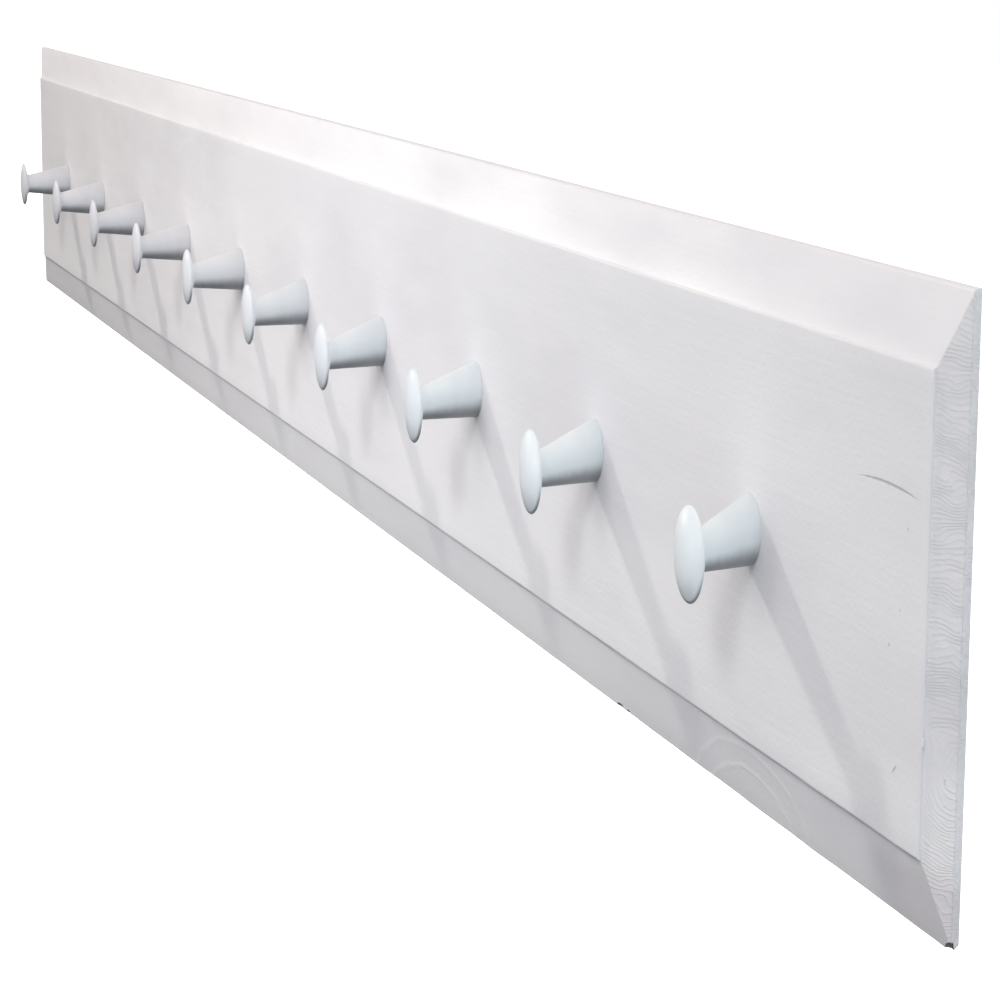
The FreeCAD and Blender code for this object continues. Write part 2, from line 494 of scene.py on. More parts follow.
class ShadedUnderside(SharedGroup):
    """Faces that look down, where a finish is given a greyer tone to deepen their shade."""

    name = "shaded_underside"
    inputs = {"Vector": (Socket.VECTOR, None), "Amount": (Socket.NUMBER, 0.5)}
    outputs = {"Mask": Socket.NUMBER}

    def fill(self, sheet: NodeSheet, given: dict[str, bpy.types.NodeSocket]) -> dict[str, Value]:
        """The downward share of the normal, with a slightly uneven limit."""
        normal = sheet.node("ShaderNodeNewGeometry").outputs["Normal"]
        uneven = sheet.times_plus(sheet.noise(given["Vector"], 160.0, 3.0, 0.6), 0.16, -0.08)
        down = sheet.minus(uneven, sheet.parts(normal)[2])
        return {"Mask": sheet.times(sheet.ramp(down, 0.12, 0.80), given["Amount"], clamp=True)}


class WornEdge(SharedGroup):
    """Where handling wears a finish: along outer edges, in broken lengths."""

    name = "worn_edge"
    inputs = {
        "Vector": (Socket.VECTOR, None),
        "Width": (Socket.NUMBER, 0.5 * MM),
        "Break Up": (Socket.NUMBER, 400.0),
    }
    outputs = {"Mask": Socket.NUMBER}

    def fill(self, sheet: NodeSheet, given: dict[str, bpy.types.NodeSocket]) -> dict[str, Value]:
        """The turn of the rounded normal away from the true one."""
        rounded = sheet.node("ShaderNodeBevel", samples=4)
        sheet.feed(rounded.inputs["Radius"], given["Width"])
        true = sheet.node("ShaderNodeNewGeometry").outputs["Normal"]
        turn = sheet.minus(1.0, sheet.vector("DOT_PRODUCT", rounded.outputs[0], true))
        broken = sheet.ramp(sheet.noise(given["Vector"], given["Break Up"], 3.0, 0.6), 0.4, 0.65)
        return {"Mask": sheet.times(sheet.ramp(turn, 0.02, 0.2), broken)}


class KnotRings(SharedGroup):
    """The rings round one knot, seen on a face that runs in X and Z."""

    name = "knot_rings"
    inputs = {
        "Vector": (Socket.VECTOR, None),
        "Centre": (Socket.VECTOR, (0.0, 0.0, 0.0)),
        "Length": (Socket.NUMBER, 30 * MM),
        "Height": (Socket.NUMBER, 15 * MM),
        "Turns": (Socket.NUMBER, 3.0),
    }
    outputs = {"Rings": Socket.NUMBER, "Core": Socket.NUMBER}

    def fill(self, sheet: NodeSheet, given: dict[str, bpy.types.NodeSocket]) -> dict[str, Value]:
        """Thin ovals that fade outwards, and a soft spot inside the first."""
        x, _, z = sheet.parts(sheet.vector("SUBTRACT", given["Vector"], given["Centre"]))
        flat = sheet.join(sheet.maths("DIVIDE", x, given["Length"]), 0.0, sheet.maths("DIVIDE", z, given["Height"]))
        bent = sheet.times_plus(sheet.noise(flat, 1.8, 1.0), 0.22, -0.11)
        away = sheet.plus(sheet.vector("LENGTH", flat), bent)
        past = sheet.times(sheet.minus(away, 1.0), given["Turns"])
        wave = sheet.maths("COSINE", sheet.times(past, 2 * math.pi))
        wave = sheet.times_plus(wave, 0.5, 0.5)
        fade = sheet.times(sheet.ramp(away, 0.78, 0.9), sheet.ramp(away, 1.36, 1.6, 1.0, 0.0))
        return {"Rings": sheet.times(sheet.maths("POWER", wave, 7.0), fade),
                "Core": sheet.ramp(away, 0.45, 0.95, 1.0, 0.0)}


class SawnEnd(SharedGroup):
    """The marks of a saw across end grain: level lines that the paint doesn't fill."""

    name = "sawn_end"
    inputs = {"Vector": (Socket.VECTOR, None), "Tilt": (Socket.NUMBER, 0.03), "Pitch": (Socket.NUMBER, 560.0)}
    outputs = {"Height": Socket.NUMBER}

    def fill(self, sheet: NodeSheet, given: dict[str, bpy.types.NodeSocket]) -> dict[str, Value]:
        """Noise that is long across the end and short up it, bent and faded in patches."""
        x, y, z = sheet.parts(given["Vector"])
        run = sheet.plus(sheet.maths("ABSOLUTE", x), y)
        level = sheet.times_plus(run, given["Tilt"], z)
        bend = sheet.noise(given["Vector"], 95.0, 3.0, 0.6)
        level = sheet.times_plus(bend, 9 * MM, level)
        lines = sheet.join(sheet.times(run, 70.0), 0.0, sheet.times(level, given["Pitch"]))
        patch = sheet.ramp(sheet.noise(given["Vector"], 48.0, 2.0), 0.38, 0.66, 0.25, 1.0)
        return {"Height": sheet.times(sheet.noise(lines, 1.0, 3.0, 0.65), patch)}


# Finishes


class Finish:
    """A material with its own tree; each finish fills it once."""

    name: str

    def material(self) -> bpy.types.Material:
        """The finish's material, made when it is first asked for."""
        known = bpy.data.materials.get(self.name)
        if known:
            return known
        made = bpy.data.materials.new(self.name)
        made.use_nodes = True
        sheet = NodeSheet(made.node_tree)
        shader = made.node_tree.nodes["Principled BSDF"]
        place = sheet.node("ShaderNodeTexCoord").outputs["Object"]
        self.fill(sheet, shader, place)
        return made

    def fill(self, sheet: NodeSheet, shader: bpy.types.Node, place: bpy.types.NodeSocket) -> None:
        """Adds the finish's nodes and feeds its shader."""
        raise NotImplementedError

    def relief(self, sheet: NodeSheet, shader: bpy.types.Node, height: Value) -> None:
        """Feeds a height in millimetres to the shader's normal."""
        bump = sheet.node("ShaderNodeBump")
        bump.inputs["Distance"].default_value = MM
        sheet.feed(bump.inputs["Height"], height)
        sheet.feed(shader.inputs["Normal"], bump.outputs["Normal"])


@dataclass(frozen=True)
class Knot:
    """A knot that shows through the paint."""

    centre: Point
    length: float
    height: float
    turns: float
    strength: float


@dataclass(frozen=True)
class Crack:
    """A thin dark line in a face, widest in its middle."""

    middle: Point
    half_length: float
    half_width: float
    bow: float = 0.0
    slope: float = 0.0


@dataclass(frozen=True)
class BoardPaint(Finish):
    """White satin paint over planed pine: grain, knots, saw marks and a fine crack show through it."""

    half_length: float
    half_height: float
    field_half_length: float
    field_half_height: float
    name: str = "painted_pine"
    light: Colour = (0.86, 0.848, 0.862)
    thin: Colour = (0.79, 0.778, 0.80)
    # Painted light: the far tones, mixed in towards the left end, stand in for how the light differs there, not for a
    # different paint.
    far_tone_painted_light: Colour = (0.868, 0.838, 0.834)
    far_thin_tone_painted_light: Colour = (0.80, 0.768, 0.770)
    late_wood: Colour = (0.80, 0.77, 0.74)
    resin: Colour = (0.66, 0.61, 0.56)
    ridge_highlight: Colour = (0.93, 0.93, 0.92)
    crack: Colour = (0.22, 0.19, 0.19)
    end_shade: Colour = (0.60, 0.565, 0.585)
    corner: Colour = (0.36, 0.35, 0.37)
    dust: Colour = (0.60, 0.57, 0.53)
    dust_amount: float = 0.10
    roughness: float = 0.42
    end_roughness: float = 0.12
    rim_band: float = 0.9 * MM
    coat_relief: float = 0.13
    speckle_relief: float = 0.9
    saw_relief: float = 0.22
    crack_shade: float = 0.36
    crack_relief: float = -0.16
    knot_relief: float = 0.11
    knot_stain: float = 0.10
    knot_ridge_highlight: float = 0.28
    knots: tuple[Knot, ...] = (
        Knot((0.675, 0.0, -0.085), 0.0396, 0.0197, 3.1, 1.0),
        Knot((-0.21, 0.0, 0.034), 0.040, 0.016, 2.5, 0.35),
        Knot((-0.63, 0.0, -0.030), 0.036, 0.014, 2.5, 0.35),
    )
    cracks: tuple[Crack, ...] = (
        Crack((0.7765, 0.0, 0.0268), 21.5 * MM, 0.42 * MM, -1.1 * MM),
        Crack((0.7866, 0.0, -0.0389), 1.8 * MM, 0.45 * MM, 0.0, 0.7),
        Crack((0.7907, 0.0, 0.0181), 0.7 * MM, 0.35 * MM, 0.0, 0.9),
        Crack((0.7872, 0.0, -0.0013), 0.6 * MM, 0.30 * MM, 0.0, -0.6),
        Crack((0.7806, 0.0, -0.0105), 0.8 * MM, 0.30 * MM, 0.0, 0.8),
    )
    end_shade_middle: Point = (0.805, 0.0, -0.068)
    end_shade_size: Point = (0.042, 1.0, 0.0125)

    def fill(self, sheet: NodeSheet, shader: bpy.types.Node, place: bpy.types.NodeSocket) -> None:
        """Colour, sheen and relief of the painted faces."""
        figure = sheet.group(PineFigure().tree(), Vector=place, Ring_Width=1.15 * MM, Curl=13 * MM)
        coat = sheet.group(BrushedCoat().tree(), Vector=place, Stroke=0.8, Stipple=0.9)
        x, y, z = sheet.parts(place)
        past_field = sheet.minus(sheet.maths("ABSOLUTE", x), self.field_half_length)
        past_side = sheet.minus(sheet.maths("ABSOLUTE", z), self.field_half_height)
        past_mitre = sheet.minus(past_field, sheet.maths("MAXIMUM", past_side, 0.0))
        on_end = sheet.ramp(past_mitre, 0.1 * MM, 0.7 * MM)
        at_rim = sheet.ramp(sheet.maths("ABSOLUTE", x), self.half_length - self.rim_band, self.half_length - 0.1 * MM)

        patch = sheet.ramp(coat.outputs["Patch"], 0.35, 0.7)
        # Painted light: the paint's tone changes along the rail in place of the light, warmer towards the left end.
        colour = sheet.mix(sheet.ramp(x, -0.60, 0.45), sheet.mix(patch, self.far_tone_painted_light, self.far_thin_tone_painted_light),
                           sheet.mix(patch, self.light, self.thin))
        ring_share = sheet.times(figure.outputs["Rings"], sheet.ramp(on_end, 0.0, 1.0, 0.05, 0.10))
        colour = sheet.mix(ring_share, colour, self.late_wood)
        brushed = sheet.times(coat.outputs["Height"], self.coat_relief)
        height = sheet.times_plus(figure.outputs["Rings"], sheet.ramp(on_end, 0.0, 1.0, 0.006, 0.15), brushed)
        fibre = sheet.times(figure.outputs["Fibre"], sheet.ramp(on_end, 0.0, 1.0, 0.03, 0.08))
        height = sheet.plus(height, fibre)

        for knot in self.knots:
            rings = sheet.group(KnotRings().tree(), Vector=place, Centre=knot.centre, Length=knot.length,
                                Height=knot.height, Turns=knot.turns)
            ring, core = rings.outputs["Rings"], rings.outputs["Core"]
            height = sheet.times_plus(ring, self.knot_relief * knot.strength, height)
            stain = sheet.times(core, self.knot_stain * knot.strength)
            colour = sheet.mix(stain, colour, self.resin)
            # Painted highlight: the knot's ring ridges are made lighter as if they catch the light, on top of their
            # relief.
            ridge_highlight = sheet.times(ring, self.knot_ridge_highlight * knot.strength)
            colour = sheet.mix(ridge_highlight, colour, self.ridge_highlight)

        saw = sheet.group(SawnEnd().tree(), Vector=place)
        saw_height = sheet.times(saw.outputs["Height"], sheet.times(on_end, self.saw_relief))
        height = sheet.plus(height, saw_height)
        speckle = sheet.noise(place, 520.0, 3.0, 0.7)
        height = sheet.times_plus(speckle, sheet.times(at_rim, self.speckle_relief), height)

        split: Value = 0.0
        for crack in self.cracks:
            split = sheet.maths("MAXIMUM", split, self.crack_mask(sheet, crack, x, z))
        colour = sheet.mix(sheet.times(split, self.crack_shade), colour, self.crack)
        height = sheet.times_plus(split, self.crack_relief, height)
        # Painted shade: a grey patch on the lower bevel by the right end.
        colour = sheet.mix(self.end_shade_mask(sheet, place, y), colour, self.end_shade)
        colour = sheet.mix(self.corner_mask(sheet, place, past_side, past_field), colour, self.corner)
        dust = sheet.group(SettledDust().tree(), Vector=place, Amount=self.dust_amount)
        colour = sheet.mix(dust.outputs["Mask"], colour, self.dust)

        sheet.feed(shader.inputs["Base Color"], colour)
        uneven = sheet.ramp(coat.outputs["Patch"], 0.3, 0.7, self.roughness - 0.06, self.roughness + 0.08)
        sheet.feed(shader.inputs["Roughness"], sheet.times_plus(on_end, self.end_roughness, uneven))
        self.relief(sheet, shader, height)

    def crack_mask(self, sheet: NodeSheet, crack: Crack, x: Value, z: Value) -> bpy.types.NodeSocket:
        """Where one crack lies in the field."""
        along = sheet.maths("DIVIDE", sheet.minus(x, crack.middle[0]), crack.half_length)
        square = sheet.times(along, along)
        line = sheet.times_plus(square, crack.bow, crack.middle[2])
        line = sheet.times_plus(along, crack.slope * crack.half_length, line)
        off = sheet.maths("ABSOLUTE", sheet.minus(z, line))
        width = sheet.times(sheet.minus(1.0, square), crack.half_width)
        ragged = sheet.noise(sheet.join(x, 0.0, z), 330.0, 3.0, 0.7)
        reach = sheet.times(width, sheet.times_plus(ragged, 1.6, 0.2))
        inside = sheet.minus(reach, off)
        return sheet.ramp(inside, -0.12 * MM, 0.25 * MM)

    def corner_mask(self, sheet: NodeSheet, place: Value, past_side: Value,
                    past_field: Value) -> bpy.types.NodeSocket:
        """A darker line in the corner under the lower step, which deepens its shade."""
        _, y, z = sheet.parts(place)
        near = sheet.ramp(past_side, 0.1 * MM, 1.5 * MM, 1.0, 0.0)
        near = sheet.times(near, sheet.ramp(past_side, -0.3 * MM, 0.0))
        low = sheet.times(sheet.ramp(y, -17.4 * MM, -16.6 * MM), sheet.ramp(z, -1 * MM, 1 * MM, 1.0, 0.0))
        inside = sheet.ramp(past_field, -1 * MM, 0.0, 1.0, 0.0)
        uneven = sheet.ramp(sheet.noise(place, 45.0, 3.0, 0.6), 0.3, 0.7, 0.5, 0.9)
        return sheet.times(sheet.times(near, low), sheet.times(inside, uneven))

    def end_shade_mask(self, sheet: NodeSheet, place: Value, y: Value) -> bpy.types.NodeSocket:
        """Painted shade: a grey patch on the lower bevel beside the end, darkening it where less light reaches."""
        off = sheet.vector("SUBTRACT", place, self.end_shade_middle)
        away = sheet.vector("LENGTH", sheet.vector("DIVIDE", off, self.end_shade_size))
        ragged = sheet.times_plus(sheet.noise(place, 70.0, 3.0, 0.6), 0.5, away)
        on_bevel = sheet.ramp(y, -15.9 * MM, -15.4 * MM)
        return sheet.times(sheet.ramp(ragged, 0.75, 1.35, 0.5, 0.0), on_bevel)


@dataclass(frozen=True)
class PegPaint(Finish):
    """A smoother, cooler and glossier white on the turned pegs."""

    name: str = "painted_turning"
    light: Colour = (0.85, 0.905, 0.93)
    thin: Colour = (0.79, 0.85, 0.88)
    # Painted shade: the far tones, mixed in towards the left end, make the farther pegs darker and warmer in place of
    # the light there.
    far_tone_painted_light: Colour = (0.74, 0.73, 0.755)
    far_thin_tone_painted_light: Colour = (0.69, 0.68, 0.705)
    underside: Colour = (0.19, 0.20, 0.215)
    scuff: Colour = (0.60, 0.62, 0.62)
    dust: Colour = (0.58, 0.57, 0.55)
    dust_amount: float = 0.07
    underside_amount: float = 0.88
    roughness: float = 0.40
    coat_weight: float = 0.12
    coat_roughness: float = 0.35
    turning_relief: float = 0.012
    coat_relief: float = 0.03

    def fill(self, sheet: NodeSheet, shader: bpy.types.Node, place: bpy.types.NodeSocket) -> None:
        """Colour, sheen and the faint turning lines under the paint."""
        coat = sheet.group(BrushedCoat().tree(), Vector=place, Stroke=0.25, Stipple=0.5)
        x, y, _ = sheet.parts(place)
        turned = sheet.noise(sheet.join(0.0, sheet.times(y, 1100.0), 0.0), 1.0, 2.0, 0.6)
        worn = sheet.group(WornEdge().tree(), Vector=place, Width=0.7 * MM, Break_Up=260.0)
        dust = sheet.group(SettledDust().tree(), Vector=place, Amount=self.dust_amount)
        patch = sheet.ramp(coat.outputs["Patch"], 0.35, 0.7)
        # Painted shade: the farther pegs get darker tones standing in for the light falling off along the rail.
        colour = sheet.mix(sheet.ramp(x, -0.30, 0.50), sheet.mix(patch, self.far_tone_painted_light, self.far_thin_tone_painted_light),
                           sheet.mix(patch, self.light, self.thin))
        shaded = sheet.group(ShadedUnderside().tree(), Vector=place, Amount=self.underside_amount)
        colour = sheet.mix(shaded.outputs["Mask"], colour, self.underside)
        colour = sheet.mix(sheet.times(worn.outputs["Mask"], 0.12), colour, self.scuff)
        colour = sheet.mix(dust.outputs["Mask"], colour, self.dust)
        sheet.feed(shader.inputs["Base Color"], colour)
        shader.inputs["Coat Roughness"].default_value = self.coat_roughness
        shader.inputs["Coat Weight"].default_value = self.coat_weight
        uneven = sheet.ramp(coat.outputs["Patch"], 0.3, 0.7, self.roughness - 0.05, self.roughness + 0.08)
        sheet.feed(shader.inputs["Roughness"], uneven)
        brushed = sheet.times(coat.outputs["Height"], self.coat_relief)
        height = sheet.times_plus(turned, self.turning_relief, brushed)
        self.relief(sheet, shader, height)


@dataclass(frozen=True)
class BarePine(Finish):
    """Planed pine on the back and in every cut, with the paint lapped a little way round the outline."""

    half_length: float
    half_height: float
    name: str = "bare_pine"
    early: Colour = (0.66, 0.47, 0.27)
    late: Colour = (0.43, 0.24, 0.105)
    grey: Colour = (0.46, 0.40, 0.33)
    knot: Colour = (0.20, 0.095, 0.04)
    lap_colour: Colour = (0.80, 0.79, 0.78)
    chip_grime_and_shade: Colour = (0.13, 0.12, 0.125)
    lap: float = 5.5 * MM
    lap_roughness: float = 0.45
    roughness: float = 0.68
    planer_pitch: float = 3.1 * MM
    planer_relief: float = 0.010
    ring_relief: float = 0.09
    fibre_relief: float = 0.10
    knot_relief: float = 0.08
    lap_relief: float = 0.10
    knots: tuple[Knot, ...] = (
        Knot((0.664, 0.0, -0.060), 0.017, 0.013, 3.0, 1.0),
        Knot((0.20, 0.0, -0.028), 0.013, 0.011, 3.0, 1.0),
        Knot((-0.21, 0.0, 0.034), 0.016, 0.012, 3.0, 1.0),
        Knot((-0.73, 0.0, -0.022), 0.012, 0.010, 3.0, 1.0),
        Knot((0.40, 0.0, 0.052), 0.009, 0.007, 3.0, 1.0),
    )

    def fill(self, sheet: NodeSheet, shader: bpy.types.Node, place: bpy.types.NodeSocket) -> None:
        """Rings, fibre, planer ripple, knots and the paint's lap."""
        figure = sheet.group(PineFigure().tree(), Vector=place, Ring_Width=5.2 * MM, Wander=26 * MM,
                             Pith_Depth=48 * MM, Pith_Height=9 * MM)
        x, y, z = sheet.parts(place)
        rings, fibre = figure.outputs["Rings"], figure.outputs["Fibre"]
        colour = sheet.mix(rings, self.early, self.late)
        colour = sheet.mix(sheet.ramp(fibre, 0.35, 0.75, 0.0, 0.28), colour, self.late)
        age = sheet.grain(place, 3.0, 14.0, 4.0, 0.6)
        colour = sheet.mix(sheet.ramp(age, 0.4, 0.75, 0.05, 0.45), colour, self.grey)
        ripple = sheet.maths("SINE", sheet.times(x, 2 * math.pi / self.planer_pitch))
        ridges = sheet.times(rings, self.ring_relief)
        height = sheet.times_plus(ripple, self.planer_relief, ridges)
        height = sheet.times_plus(fibre, self.fibre_relief, height)
        for knot in self.knots:
            made = sheet.group(KnotRings().tree(), Vector=place, Centre=knot.centre, Length=knot.length,
                               Height=knot.height, Turns=knot.turns)
            colour = sheet.mix(sheet.times(made.outputs["Rings"], 0.55), colour, self.knot)
            colour = sheet.mix(sheet.times(made.outputs["Core"], 0.85), colour, self.knot)
            height = sheet.times_plus(made.outputs["Core"], self.knot_relief, height)
        lapped = self.lap_mask(sheet, place, x, y, z)
        colour = sheet.mix(lapped, colour, self.lap_colour)
        height = sheet.times_plus(lapped, self.lap_relief, height)
        # Painted shade with grime: laid-open wood in the chips is made near black, partly for handling and partly for
        # the shade in their hollows.
        colour = sheet.mix(self.open_mask(sheet, x, y, z), colour, self.chip_grime_and_shade)
        sheet.feed(shader.inputs["Base Color"], colour)
        sheet.feed(shader.inputs["Roughness"], sheet.ramp(lapped, 0.0, 1.0, self.roughness, self.lap_roughness))
        self.relief(sheet, shader, height)

    def inward(self, sheet: NodeSheet, x: Value, z: Value) -> bpy.types.NodeSocket:
        """How far a place is inside the board's outline."""
        to_end = sheet.minus(self.half_length, sheet.maths("ABSOLUTE", x))
        to_side = sheet.minus(self.half_height, sheet.maths("ABSOLUTE", z))
        return sheet.maths("MINIMUM", to_end, to_side)

    def open_mask(self, sheet: NodeSheet, x: Value, y: Value, z: Value) -> bpy.types.NodeSocket:
        """Wood that chips have laid open on the front and the outline, darkened both as grime from handling and as
        painted shade in the hollow of each chip.
        """
        front = sheet.ramp(y, -10 * MM, -9.6 * MM, 0.9, 0.0)
        outline = sheet.ramp(self.inward(sheet, x, z), 6 * MM, 7 * MM, 0.9, 0.0)
        side = sheet.times(outline, sheet.ramp(y, -2 * MM, -1 * MM, 1.0, 0.0))
        return sheet.maths("MAXIMUM", front, side)

    def lap_mask(self, sheet: NodeSheet, place: Value, x: Value, y: Value, z: Value) -> bpy.types.NodeSocket:
        """Paint that ran round the back edge, with a ragged limit."""
        inward = self.inward(sheet, x, z)
        slow = sheet.noise(place, 22.0, 3.0, 0.6)
        fine = sheet.noise(place, 210.0, 3.0, 0.7)
        limit = sheet.times_plus(slow, 2.6 * self.lap, -0.95 * self.lap)
        limit = sheet.times_plus(fine, 0.5 * self.lap, limit)
        inside = sheet.minus(limit, inward)
        on_back = sheet.ramp(y, -0.2 * MM, -0.1 * MM)
        return sheet.times(sheet.ramp(inside, -0.2 * MM, 0.35 * MM), on_back)


@dataclass(frozen=True)
class PlatedSteel(Finish):
    """Plated steel: rolling lines, slow clouds in the plating and edges rubbed bright."""

    name: str
    plating: Colour
    cloud: Colour
    bright: Colour
    roughness: float
    edge_width: float
    dust_amount: float = 0.25
    line_relief: float = 0.006
    cloud_relief: float = 0.012

    def fill(self, sheet: NodeSheet, shader: bpy.types.Node, place: bpy.types.NodeSocket) -> None:
        """Colour, sheen and relief of the plating."""
        clouds = sheet.noise(place, 240.0, 4.0, 0.6)
        lines = sheet.noise(sheet.vector("MULTIPLY", place, (2600.0, 600.0, 60.0)), 1.0, 2.0, 0.6)
        worn = sheet.group(WornEdge().tree(), Vector=place, Width=self.edge_width, Break_Up=700.0)
        dust = sheet.group(SettledDust().tree(), Vector=place, Amount=self.dust_amount)
        colour = sheet.mix(sheet.ramp(clouds, 0.35, 0.7), self.plating, self.cloud)
        colour = sheet.mix(sheet.times(worn.outputs["Mask"], 0.8), colour, self.bright)
        sheet.feed(shader.inputs["Base Color"], colour)
        sheet.feed(shader.inputs["Metallic"], sheet.minus(1.0, dust.outputs["Mask"], clamp=True))
        rough = sheet.ramp(clouds, 0.3, 0.75, self.roughness - 0.07, self.roughness + 0.12)
        sheet.feed(shader.inputs["Roughness"], sheet.times_plus(lines, 0.08, rough))
        slow = sheet.times(clouds, self.cloud_relief)
        height = sheet.times_plus(lines, self.line_relief, slow)
        self.relief(sheet, shader, height)


ZINC = PlatedSteel("plate_zinc", (0.62, 0.64, 0.66), (0.50, 0.52, 0.55), (0.80, 0.81, 0.82), 0.34, 0.4 * MM)
PASSIVATE = PlatedSteel("screw_passivate", (0.70, 0.55, 0.26), (0.62, 0.52, 0.36), (0.82, 0.76, 0.58), 0.28,
                        0.25 * MM)


# The pieces


class Slot(enum.Enum):
    """The record's material slots."""

    BOARD = "board_paint"
    PEG = "peg_paint"
    PLATE = "plate_steel"
    SCREW = "screw_steel"


def hand_over(piece: bpy.types.Object, node: str) -> None:
    """Lets a piece ride on the rail's body in place of its node, and reports it.

    Args:
        piece: The finished piece.
        node: The node it stands for.
    """
    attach(piece, "root")
    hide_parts(node)
    log.info("%s stands for %s: %d faces", piece.name, node, len(piece.data.polygons))


def numbered(prefix: str) -> list[str]:
    """The frame's nodes whose names start with a prefix, in order."""
    return sorted(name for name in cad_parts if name.startswith(prefix))


def middle(node: str) -> Vector:
    """The middle of a node's box."""
    low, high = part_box(node)
    return (low + high) / 2


@dataclass(frozen=True)
class Hurt:
    """A small knock in the board: its place, size and seed, and whether it lays the wood bare."""

    place: Point
    size: Point
    seed: int
    bare: bool = False


@dataclass
class HangerPlate:
    """A pressed steel plate with a keyhole, let into the back of the board."""

    corner_radius: float = 3 * MM
    corner_segments: int = 8
    entry_radius: float = 5 * MM
    slot_radius: float = 2.5 * MM
    entry_drop: float = 5 * MM
    travel: float = 9.5 * MM
    screw_offset: float = 17.5 * MM
    seat_radius: float = 3.03 * MM
    shank_radius: float = 1.6 * MM
    seat_inset: float = 0.1 * MM
    seat_height: float = 1.6 * MM
    edge_radius: float = 0.3 * MM
    edge_angle: float = 50.0
    smooth_angle: float = 35.0
    recess_clearance: float = 0.25 * MM
    pocket_clearance: float = 0.5 * MM
    pocket_depth: float = 7 * MM
    sides: int = 48

    def nodes(self) -> list[str]:
        """The plates' nodes."""
        return numbered("hanger_plate_")

    def size(self) -> tuple[float, float, float]:
        """Width, thickness and length of a plate."""
        low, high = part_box(self.nodes()[0])
        return tuple(high - low)

    def rounded_slab(self, name: str, grow: float, y_from: float, y_to: float) -> bpy.types.Object:
        """A slab of a plate's outline, grown by a clearance, round the origin."""
        width, _, length = self.size()
        half_x, half_z = width / 2 + grow, length / 2 + grow
        slab = box_mesh(name, (-half_x, y_from, -half_z), (half_x, y_to, half_z))
        pick_edges(slab, lambda a, b: abs(a.x - b.x) < NEAR and abs(a.z - b.z) < NEAR)
        bpy.ops.mesh.bevel(offset=self.corner_radius + grow, segments=self.corner_segments, affect="EDGES")
        end_mesh()
        return slab

    def stadium(self, name: str, radius: float, y_from: float, y_to: float) -> bpy.types.Object:
        """A round-ended slot's solid from the entry's centre up to the end of the travel."""
        slot = lathe_mesh(name, [(radius, y_from), (radius, y_to)], self.sides)
        only(slot)
        bpy.ops.object.mode_set(mode="EDIT")
        bpy.ops.mesh.select_mode(type="VERT")
        bpy.ops.mesh.select_all(action="DESELECT")
        shape = bmesh.from_edit_mesh(slot.data)
        for vertex in shape.verts:
            vertex.select_set(vertex.co.z > NEAR)
        bmesh.update_edit_mesh(slot.data)
        bpy.ops.transform.translate(value=(0, 0, self.travel))
        bpy.ops.mesh.select_all(action="SELECT")
        bpy.ops.transform.translate(value=(0, 0, -self.entry_drop))
        bpy.ops.object.mode_set(mode="OBJECT")
        return slot

    def build(self) -> list[bpy.types.Object]:
        """Makes one plate and copies it to each place.

        Returns:
            The plates, in the order of their nodes.
        """
        _, thickness, _ = self.size()
        plate = self.rounded_slab("plate_blank", 0.0, -thickness, 0.0)
        entry = lathe_mesh("entry", [(self.entry_radius, PROUD), (self.entry_radius, -thickness - PROUD)], self.sides)
        move_mesh(entry, (0, 0, -self.entry_drop))
        cut(plate, entry)
        cut(plate, self.stadium("slot", self.slot_radius, PROUD, -thickness - PROUD))
        for side in (-1, 1):
            seat = lathe_mesh("seat", [
                (self.seat_radius, PROUD),
                (self.seat_radius, -self.seat_inset),
                (self.shank_radius, -self.seat_inset - self.seat_height),
                (self.shank_radius, -thickness - PROUD),
            ], self.sides)
            move_mesh(seat, (0, 0, side * self.screw_offset))
            cut(plate, seat)
        apply_modifier(plate, "BEVEL", width=self.edge_radius, segments=2, limit_method="ANGLE",
                       angle_limit=math.radians(self.edge_angle))
        smooth(plate, self.smooth_angle)
        plates = []
        for node in self.nodes():
            centre = middle(node)
            twin = copy_piece(plate, f"keyhole_plate_{node[-1]}", (centre.x, 0, centre.z))
            twin.data.materials.append(ZINC.material())
            hand_over(twin, node)
            plates.append(twin)
        bpy.data.objects.remove(plate)
        return plates


